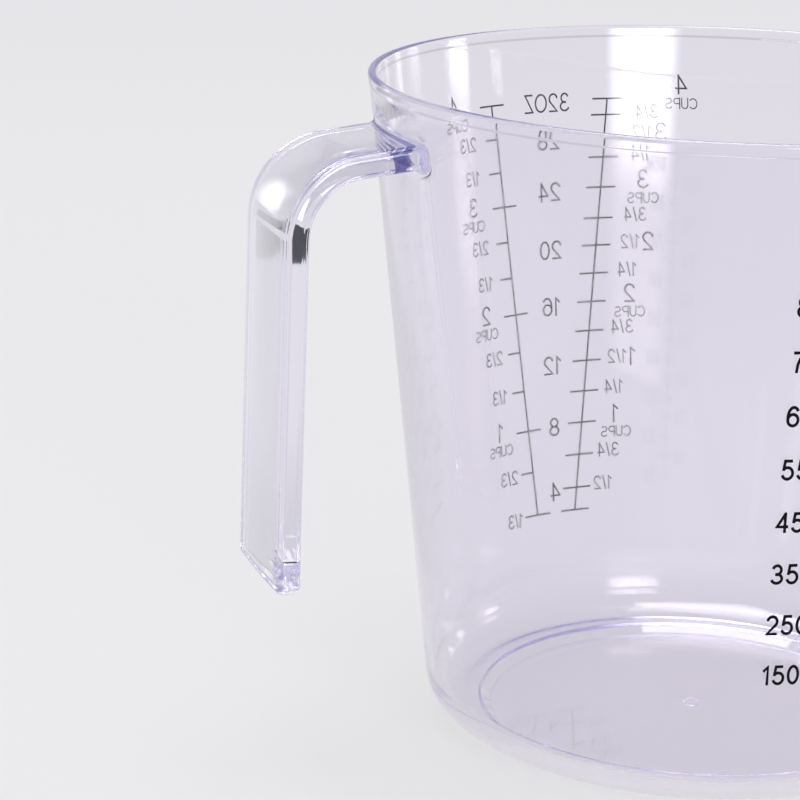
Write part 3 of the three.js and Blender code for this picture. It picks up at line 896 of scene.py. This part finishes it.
@dataclass
class CupsPrint:
    """The print on the far side: cups in thirds and in quarters, with ounces between them."""

    cup: CupShell
    characters: Characters
    low_cups: float = 1 / 3
    top_cups: int = 4
    ounces_per_cup: int = 8
    ounce_step: int = 4
    azimuth: float = math.radians(99.2)
    top_drop: float = 14.6
    low_height: float = 23.9
    top_spread: float = 13.7
    low_spread: float = 4.55
    tick: float = 3.2
    line_width: float = 0.33
    number_height: float = 3.8
    fraction_height: float = 2.85
    unit_height: float = 2.2
    ounce_height: float = 3.75
    number_rise: float = 0.9
    unit_fall: float = 2.9
    quarters_rise: float = 0.6
    top_rise: float = 1.3
    thirds_fall: float = 0.3
    ounce_fall: float = 0.4
    low_gap: float = 0.6
    gap_growth: float = 0.03
    whole_gap: float = 0.3
    thirds_top_gap: float = 4.5
    quarters_top_gap: float = 9.0
    narrow: float = 0.9
    quarters_set: tuple[tuple[float, float], ...] = ((2.75, 83.3), (3.25, 95.5), (3.75, 103.8))

    @property
    def top_height(self) -> float:
        """Height of the top line."""
        return self.cup.height - self.top_drop

    @property
    def thirds(self) -> Marks:
        """Heights of the marks in thirds."""
        ends = (self.low_cups, self.low_height), (self.top_cups, self.top_height)
        return Marks(self.cup, ends, self.top_height)

    @property
    def quarters(self) -> Marks:
        """Heights of the marks in quarters and of the ounces, which the top line cuts short."""
        return Marks(self.cup, ((self.low_cups, self.low_height), *self.quarters_set), self.top_height)

    def spine(self, side: Ladder, height: float) -> float:
        """Arc length from the print's middle to a ladder's spine at a height."""
        share = (height - self.low_height) / (self.top_height - self.low_height)
        return side.value * (self.low_spread + (self.top_spread - self.low_spread) * share)

    def gap(self, height: float) -> float:
        """Room between a tick and its label, which grows with the height."""
        return self.low_gap + self.gap_growth * (height - self.low_height)

    def ladder(self, name: str, side: Ladder) -> bpy.types.Object:
        """Builds one ladder with its numbers: thirds on the handle's side, quarters on the spout's.

        Args:
            name: The piece's name.
            side: Which side of the print it stands on.

        Returns:
            The print.
        """
        flat = WallPrint(name, self.cup, self.azimuth, self.characters, self.line_width)
        in_thirds = side is Ladder.HANDLE_SIDE
        parts, marks = (3, self.thirds) if in_thirds else (4, self.quarters)
        top_gap = self.thirds_top_gap if in_thirds else self.quarters_top_gap
        low, high = self.low_height, self.top_height
        ticks = [Tick(low, self.tick, self.tick)]
        if in_thirds:
            self.fraction(flat, side, "1/3", low)
        for part in range(math.floor(self.low_cups * parts) + 1, self.top_cups * parts + 1):
            height = marks.height(part / parts)
            whole, rest = divmod(part, parts)
            ticks.append(Tick(height, 0 if in_thirds and rest else self.tick, self.tick))
            if rest == 0:
                self.whole(flat, side, whole, height, top_gap if whole == self.top_cups else self.gap(height))
            elif 2 * rest == parts:
                self.fraction(flat, side, "1/2", height, str(whole) if whole else "")
            else:
                self.fraction(flat, side, f"{rest}/{parts}", height)
        flat.ladder(ticks, self.spine(side, low), self.spine(side, high))
        return flat.wrap()

    def whole(self, flat: WallPrint, side: Ladder, cups: int, height: float, gap: float) -> None:
        """Lays out a whole number of cups over its unit, the top one of the quarters a little above its tick."""
        half_unit = self.characters.length("CUPS") * self.unit_height / 2
        middle = self.spine(side, height) + side.value * (self.tick + gap + half_unit)
        level = height
        if side is Ladder.SPOUT_SIDE:
            level += self.quarters_rise + (self.top_rise if cups == self.top_cups else 0)
        flat.label(str(cups), (middle, level + self.number_rise), self.number_height, Align.MIDDLE)
        flat.label("CUPS", (middle, level - self.unit_fall), self.unit_height, Align.MIDDLE)

    def fraction(self, flat: WallPrint, side: Ladder, text: str, height: float, whole: str = "") -> None:
        """Lays out a fraction beside its tick, after a whole number where it has one."""
        start = self.spine(side, height) + side.value * (self.tick + self.gap(height))
        align = Align.START if side is Ladder.HANDLE_SIDE else Align.END
        height += -self.thirds_fall if side is Ladder.HANDLE_SIDE else self.quarters_rise
        flat.label(text, (start, height), self.fraction_height, align, self.narrow)
        if whole:
            before = self.characters.length(text) * self.fraction_height * self.narrow + self.whole_gap
            flat.label(whole, (start - before, height), self.number_height, align)

    def ounces(self, name: str) -> bpy.types.Object:
        """Builds the column of ounces between the two ladders."""
        flat = WallPrint(name, self.cup, self.azimuth, self.characters)
        top = self.top_cups * self.ounces_per_cup
        for ounces in range(self.ounce_step, top + 1, self.ounce_step):
            text, stretch = (f"{ounces}OZ", self.narrow) if ounces == top else (str(ounces), 1.0)
            level = self.quarters.height(ounces / self.ounces_per_cup) - self.ounce_fall
            flat.label(text, (0, level), self.ounce_height, Align.MIDDLE, stretch)
        return flat.wrap()


@dataclass
class MillilitrePrint:
    """The print on the near side: a ladder of millilitres with a column of numbers on either side."""

    cup: CupShell
    characters: Characters
    low_measure: int = 100
    top_measure: int = 950
    step: int = 50
    unit_measure: int = 900
    azimuth: float = math.radians(-91)
    top_drop: float = 17.4
    low_height: float = 23.4
    tick: float = 3.2
    number_height: float = 3.8
    narrow: float = 0.88
    lean: float = -0.05
    left_bearing: float = math.radians(-12.6)
    right_bearing: float = math.radians(5.6)

    def build(self, name: str) -> bpy.types.Object:
        """Builds the ladder and its numbers.

        Args:
            name: The piece's name.

        Returns:
            The print.
        """
        flat = WallPrint(name, self.cup, self.azimuth, self.characters)
        ticks = []
        for measure in range(self.low_measure, self.top_measure + 1, self.step):
            share = (measure - self.low_measure) / (self.top_measure - self.low_measure)
            height = self.low_height + (self.cup.height - self.top_drop - self.low_height) * share
            ticks.append(Tick(height, self.tick, self.tick))
            bearing = self.left_bearing if measure % (2 * self.step) else self.right_bearing
            text = f"{measure}ML" if measure == self.unit_measure else str(measure)
            place = (bearing * self.cup.wall_radius(height), height)
            flat.label(text, place, self.number_height, Align.START, self.narrow, self.lean)
        flat.ladder(ticks, 0.0, 0.0)
        return flat.wrap()


@dataclass(frozen=True)
class ClearPlastic:
    """Clear styrene plastic, injection moulded against polished steel.

    It is bright and glassy, with a violet-blue toner that shows only where light runs far inside it.
    """

    name: str = "clear_styrene_moulded"
    body: str = "#f8f5fb"
    toner: str = "#5946e7"
    toner_density: float = 1.5
    ior: float = 1.57
    smooth: float = 0.012
    hazy: float = 0.05
    flow_size: float = 9.0
    flow_depth: float = 0.004
    flow_detail: float = 1.5
    haze_size: float = 2.25
    haze_detail: float = 5.0
    haze_range: tuple[float, float] = (0.35, 0.75)

    def make(self) -> bpy.types.Material:
        """Makes the material.

        Returns:
            The material.
        """
        material = bpy.data.materials.new(self.name)
        tree = bare_tree(material)
        place = add_node(tree, "ShaderNodeTexCoord").outputs["Object"]
        # Slow waves that the melt leaves in the wall as it cools, a few microns deep.
        flow = add_node(tree, "ShaderNodeTexNoise", {
            "Vector": place, "Scale": 1 / (self.flow_size * MM), "Detail": self.flow_detail})
        bump = add_node(tree, "ShaderNodeBump", {
            "Height": flow.outputs["Fac"], "Strength": 1.0, "Distance": self.flow_depth * MM})
        # A faint haze of handling marks that breaks up the gloss.
        haze = add_node(tree, "ShaderNodeTexNoise", {
            "Vector": place, "Scale": 1 / (self.haze_size * MM), "Detail": self.haze_detail})
        rough = add_node(tree, "ShaderNodeMapRange", {
            "Value": haze.outputs["Fac"], "From Min": self.haze_range[0], "From Max": self.haze_range[1],
            "To Min": self.smooth, "To Max": self.hazy})
        surface = add_node(tree, "ShaderNodeBsdfPrincipled", {
            "Base Color": linear(self.body), "Roughness": rough.outputs["Result"], "IOR": self.ior,
            "Transmission Weight": 1.0, "Normal": bump.outputs["Normal"]})
        depth = add_node(tree, "ShaderNodeVolumeAbsorption", {
            "Color": linear(self.toner), "Density": self.toner_density})
        add_node(tree, "ShaderNodeOutputMaterial", {
            "Surface": surface.outputs["BSDF"], "Volume": depth.outputs["Volume"]})
        return material


@dataclass(frozen=True)
class PrintedInk:
    """Black screen ink, a thin matt film that is a little uneven where the mesh let it through."""

    name: str = "black_screen_ink"
    dark: str = "#0a090c"
    thin: str = "#17161b"
    mesh_size: float = 0.35
    mesh_detail: float = 3.0
    thin_range: tuple[float, float] = (0.4, 0.75)
    matt: tuple[float, float] = (0.45, 0.65)
    shine: float = 0.06

    def make(self) -> bpy.types.Material:
        """Makes the material.

        Returns:
            The material.
        """
        material = bpy.data.materials.new(self.name)
        tree = bare_tree(material)
        place = add_node(tree, "ShaderNodeTexCoord").outputs["Object"]
        grain = add_node(tree, "ShaderNodeTexNoise", {
            "Vector": place, "Scale": 1 / (self.mesh_size * MM), "Detail": self.mesh_detail})
        colour = add_node(tree, "ShaderNodeValToRGB", {"Fac": grain.outputs["Fac"]})
        for stop, position, shade in zip(colour.color_ramp.elements, self.thin_range, (self.dark, self.thin)):
            stop.position, stop.color = position, linear(shade)
        rough = add_node(tree, "ShaderNodeMapRange", {
            "Value": grain.outputs["Fac"], "To Min": self.matt[0], "To Max": self.matt[1]})
        surface = add_node(tree, "ShaderNodeBsdfPrincipled", {
            "Base Color": colour.outputs["Color"], "Roughness": rough.outputs["Result"],
            "Specular IOR Level": self.shine})
        add_node(tree, "ShaderNodeOutputMaterial", {"Surface": surface.outputs["BSDF"]})
        return material


@dataclass(frozen=True)
class SoftBox:
    """A studio lamp that faces the cup: where it stands, its size in metres, and how its cloth glows."""

    name: str
    bearing: float
    width: float
    watts: float
    foot_share: float
    distance: float = 1.1
    height: float = 0.14
    tall: float = 0.28
    dim_foot: float = 0.05
    foot_ramp: float = 0.1
    soft_side: float = 0.2
    soft_head: float = 0.01

    def add(self, target: Vector) -> None:
        """Stands the lamp on the floor's edge and turns it to the target."""
        data = bpy.data.lights.new(self.name, "AREA")
        data.shape, data.size, data.size_y, data.energy = "RECTANGLE", self.width, self.tall, self.watts
        lamp = put_in_scene(self.name, data)
        angle = math.radians(self.bearing)
        lamp.location = (self.distance * math.cos(angle), self.distance * math.sin(angle), self.height)
        lamp.rotation_euler = (target - lamp.location).to_track_quat("-Z", "Y").to_euler()
        lamp.visible_camera = False
        self.grade(data)

    def grade(self, data: bpy.types.AreaLight) -> None:
        """Fades the cloth towards its sides, and dims its foot, as a lamp hung high in the box does."""
        tree = bare_tree(data)
        across = add_node(tree, "ShaderNodeSeparateXYZ", {
            "Vector": add_node(tree, "ShaderNodeNewGeometry").outputs["Parametric"]})
        off_middle = add_node(tree, "ShaderNodeMath", {0: across.outputs["X"], 1: 0.5}, operation="SUBTRACT")
        aside = add_node(tree, "ShaderNodeMath", {0: off_middle.outputs[0]}, operation="ABSOLUTE")
        foot_start, foot_end = self.foot_share - self.foot_ramp, self.foot_share + self.foot_ramp
        fades = (
            (aside.outputs[0], 0.5 - self.soft_side, 0.5, 1.0, 0.0),
            (across.outputs["Y"], foot_start, foot_end, self.dim_foot, 1.0),
            (across.outputs["Y"], 1 - self.soft_head, 1.0, 1.0, 0.0),
        )
        strength = 1.0
        for way, start, end, at_start, at_end in fades:
            fade = add_node(tree, "ShaderNodeMapRange", {
                "Value": way, "From Min": start, "From Max": end, "To Min": at_start, "To Max": at_end,
            }, interpolation_type="SMOOTHSTEP")
            strength = add_node(tree, "ShaderNodeMath", {
                0: strength, 1: fade.outputs["Result"]}, operation="MULTIPLY").outputs[0]
        glow = add_node(tree, "ShaderNodeEmission", {"Strength": strength})
        add_node(tree, "ShaderNodeOutputLight", {"Surface": glow.outputs["Emission"]})


@dataclass
class Studio:
    """Pale floor, soft light and the camera. The floor's size, its dim band and the lamps are in metres."""

    cup: CupShell
    camera_distance: float = 494.05
    camera_height: float = 200.48
    camera_bearing: float = math.radians(-115.98)
    heading: float = math.radians(-19.33)
    pitch: float = math.radians(15.99)
    roll: float = math.radians(1.59)
    lens: float = 124.02
    sensor: float = 36.0
    clip: tuple[float, float] = (0.01, 50.0)
    bounces: int = 512
    floor_size: float = 12.0
    floor_gap: float = 0.3
    floor_colour: str = "#f0f0f0"
    floor_glow: float = 0.94
    floor_own_share: float = 0.8
    floor_dim: float = 0.8
    dim_middle: float = -0.12
    dim_reach: float = 0.04
    dim_turn: float = -0.287
    room_colour: str = "#cfced6"
    ceiling_colour: str = "#a9a9c8"
    wall_top: float = 0.35
    ceiling_start: float = 0.7
    flag_colour: str = "#1c1f2b"
    flag_width: float = 300.0
    flag_height: float = 46.1
    flag_place: tuple[float, float] = (-212.0, 386.0)
    flag_turn: float = math.radians(19)
    overhead_size: float = 0.8
    overhead_watts: float = 9.0
    overhead_place: tuple[float, float, float] = (-0.1, 0.15, 1.3)
    lamps: tuple[SoftBox, ...] = (
        SoftBox("key_box", bearing=-84.5, width=0.58, watts=8.6, foot_share=0.23, height=0.3, tall=0.6,
                dim_foot=0.16, foot_ramp=0.05, soft_side=0.3),
        SoftBox("side_strip", bearing=-7, width=0.22, watts=1.0, foot_share=0.36),
        SoftBox("rear_strip", bearing=20.5, width=0.15, watts=0.5, foot_share=0.27),
        SoftBox("thin_strip", bearing=34, width=0.06, watts=0.16, foot_share=0.21),
        SoftBox("back_strip", bearing=113.5, width=0.16, watts=0.36, foot_share=0.1, distance=1.08, height=0.21,
                tall=0.36, dim_foot=0.6, soft_side=0.4, soft_head=0.5),
    )

    def build(self) -> None:
        """Builds everything round the cup, and lets light bounce often enough to cross a clear wall edge-on."""
        paths = bpy.context.scene.cycles
        paths.max_bounces = paths.glossy_bounces = paths.transmission_bounces = self.bounces
        self.floor()
        self.flag()
        self.room()
        target = Vector((self.cup.axis_x, 0, self.cup.height / 2)) * MM
        for lamp in self.lamps:
            lamp.add(target)
        self.overhead()
        self.camera()

    def floor(self) -> None:
        """Lays the floor: pale by itself for what the camera sees, and partly lit, so that it keeps the shadow."""
        bpy.ops.object.select_all(action="DESELECT")
        bpy.ops.mesh.primitive_plane_add(size=self.floor_size, location=(0, 0, -self.floor_gap * MM))
        floor = start_piece("studio_floor")
        material = bpy.data.materials.new("pale_studio_paper")
        tree = bare_tree(material)
        paths = add_node(tree, "ShaderNodeLightPath")
        seen = add_node(tree, "ShaderNodeMath", {
            0: paths.outputs["Is Camera Ray"], 1: paths.outputs["Is Glossy Ray"]}, operation="MAXIMUM")
        seen = add_node(tree, "ShaderNodeMath", {
            0: seen.outputs[0], 1: paths.outputs["Is Transmission Ray"]}, operation="MAXIMUM")
        # The plastic shows the floor on the handle's side a little dimmer, as the light falls off there.
        place = add_node(tree, "ShaderNodeSeparateXYZ", {
            "Vector": add_node(tree, "ShaderNodeTexCoord").outputs["Object"]})
        aside = add_node(tree, "ShaderNodeMath", {
            0: place.outputs["Y"], 1: self.dim_turn, 2: place.outputs["X"]}, operation="MULTIPLY_ADD")
        aside = add_node(tree, "ShaderNodeMath", {0: aside.outputs[0], 1: self.dim_middle}, operation="SUBTRACT")
        aside = add_node(tree, "ShaderNodeMath", {0: aside.outputs[0]}, operation="ABSOLUTE")
        dim = add_node(tree, "ShaderNodeMapRange", {
            "Value": aside.outputs[0], "From Min": self.dim_reach, "From Max": 2 * self.dim_reach,
            "To Min": self.floor_dim, "To Max": 1.0})
        level = add_node(tree, "ShaderNodeMath", {
            0: dim.outputs["Result"], 1: paths.outputs["Is Camera Ray"]}, operation="MAXIMUM")
        level = add_node(tree, "ShaderNodeMath", {0: level.outputs[0], 1: self.floor_glow}, operation="MULTIPLY")
        paper = add_node(tree, "ShaderNodeBsdfDiffuse", {"Color": linear(self.floor_colour)})
        glow = add_node(tree, "ShaderNodeEmission", {
            "Color": linear(self.floor_colour), "Strength": level.outputs[0]})
        share = add_node(tree, "ShaderNodeMath", {0: seen.outputs[0], 1: self.floor_own_share}, operation="MULTIPLY")
        mixed = add_node(tree, "ShaderNodeMixShader", {
            0: share.outputs[0], 1: paper.outputs["BSDF"], 2: glow.outputs["Emission"]})
        add_node(tree, "ShaderNodeOutputMaterial", {"Surface": mixed.outputs["Shader"]})
        floor.data.materials.append(material)

    def flag(self) -> None:
        """Stands a low black card behind the handle, out of the picture, that shows through the handle's bend."""
        bpy.ops.object.select_all(action="DESELECT")
        bpy.ops.mesh.primitive_plane_add(size=1.0, rotation=(QUARTER_TURN, 0, self.flag_turn))
        flag = start_piece("black_flag")
        flag.scale = (self.flag_width * MM, self.flag_height * MM, 1.0)
        flag.location = Vector((*self.flag_place, self.flag_height / 2)) * MM
        bpy.ops.object.transform_apply(location=True, rotation=True, scale=True)
        material = bpy.data.materials.new("black_flag_cloth")
        tree = bare_tree(material)
        cloth = add_node(tree, "ShaderNodeEmission", {"Color": linear(self.flag_colour)})
        add_node(tree, "ShaderNodeOutputMaterial", {"Surface": cloth.outputs["Emission"]})
        flag.data.materials.append(material)
        flag.visible_camera = flag.visible_shadow = flag.visible_diffuse = flag.visible_glossy = False

    def room(self) -> None:
        """Surrounds the floor with a pale grey room under a darker ceiling."""
        world = bpy.data.worlds.new("grey_room")
        bpy.context.scene.world = world
        tree = bare_tree(world)
        way = add_node(tree, "ShaderNodeSeparateXYZ", {
            "Vector": add_node(tree, "ShaderNodeTexCoord").outputs["Generated"]})
        shade = add_node(tree, "ShaderNodeValToRGB", {"Fac": way.outputs["Z"]})
        wall, ceiling = shade.color_ramp.elements
        wall.position, wall.color = self.wall_top, linear(self.room_colour)
        ceiling.position, ceiling.color = self.ceiling_start, linear(self.ceiling_colour)
        air = add_node(tree, "ShaderNodeBackground", {"Color": shade.outputs["Color"], "Strength": 1.0})
        add_node(tree, "ShaderNodeOutputWorld", {"Surface": air.outputs["Background"]})

    def overhead(self) -> None:
        """Hangs a broad soft lamp above the cup."""
        data = bpy.data.lights.new("overhead_box", "AREA")
        data.shape, data.size, data.energy = "SQUARE", self.overhead_size, self.overhead_watts
        lamp = put_in_scene("overhead_box", data)
        lamp.location = self.overhead_place
        lamp.visible_camera = False

    def camera(self) -> None:
        """Stands the camera where the photograph was taken from."""
        data = bpy.data.cameras.new("camera")
        data.lens, data.sensor_width = self.lens, self.sensor
        data.clip_start, data.clip_end = self.clip
        camera = put_in_scene("camera", data)
        x = self.cup.axis_x + self.camera_distance * math.cos(self.camera_bearing)
        y = self.camera_distance * math.sin(self.camera_bearing)
        turned = (Matrix.Rotation(self.heading, 4, "Z") @ Matrix.Rotation(QUARTER_TURN - self.pitch, 4, "X")
                  @ Matrix.Rotation(self.roll, 4, "Z"))
        camera.matrix_world = Matrix.Translation(Vector((x, y, self.camera_height)) * MM) @ turned
        bpy.context.scene.camera = camera


def dress(piece: bpy.types.Object, material: bpy.types.Material, nodes: tuple[str, ...]) -> None:
    """Gives a piece its finish and its place in the part.

    Args:
        piece: The finished piece.
        material: Its finish.
        nodes: The solids that it stands for.
    """
    piece.data.materials.clear()
    piece.data.materials.append(material)
    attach(piece, "root")
    if nodes:
        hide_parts(*nodes)
    log.info("%s: %d faces", piece.name, len(piece.data.polygons))


def main() -> None:
    """Builds the cup, its prints and the studio."""
    logging.basicConfig(level=logging.INFO, format="%(name)s: %(message)s")
    bpy.context.scene.view_settings.view_transform = "Standard"
    cup = CupShell()
    plastic, ink = ClearPlastic().make(), PrintedInk().make()
    # The far prints get a grey copy of the black ink. The grey is a painted reflection veil: it stands for the light
    # reflected by the walls that these prints are seen through.
    painted_veil_ink = PrintedInk(name="black_screen_ink_painted_veil", dark="#434147", thin="#636168").make()
    dress(CupMoulding(cup, StrapHandle(cup)).build(), plastic, ("cup_body", "handle"))
    fine, bold = Characters(pen=0.095), Characters(pen=0.145)
    cups = CupsPrint(cup, fine)
    thirds = cups.ladder("cups_thirds_print", Ladder.HANDLE_SIDE)
    dress(thirds, painted_veil_ink, ("cups_thirds_scale",))
    quarters = cups.ladder("cups_quarters_print", Ladder.SPOUT_SIDE)
    dress(quarters, painted_veil_ink, ("cups_quarters_scale",))
    dress(cups.ounces("ounces_print"), painted_veil_ink, ())
    dress(MillilitrePrint(cup, bold).build("millilitre_print"), ink, ("millilitre_scale",))
    fine.clear()
    bold.clear()
    Studio(cup).build()


if __name__ == "__main__":
    main()
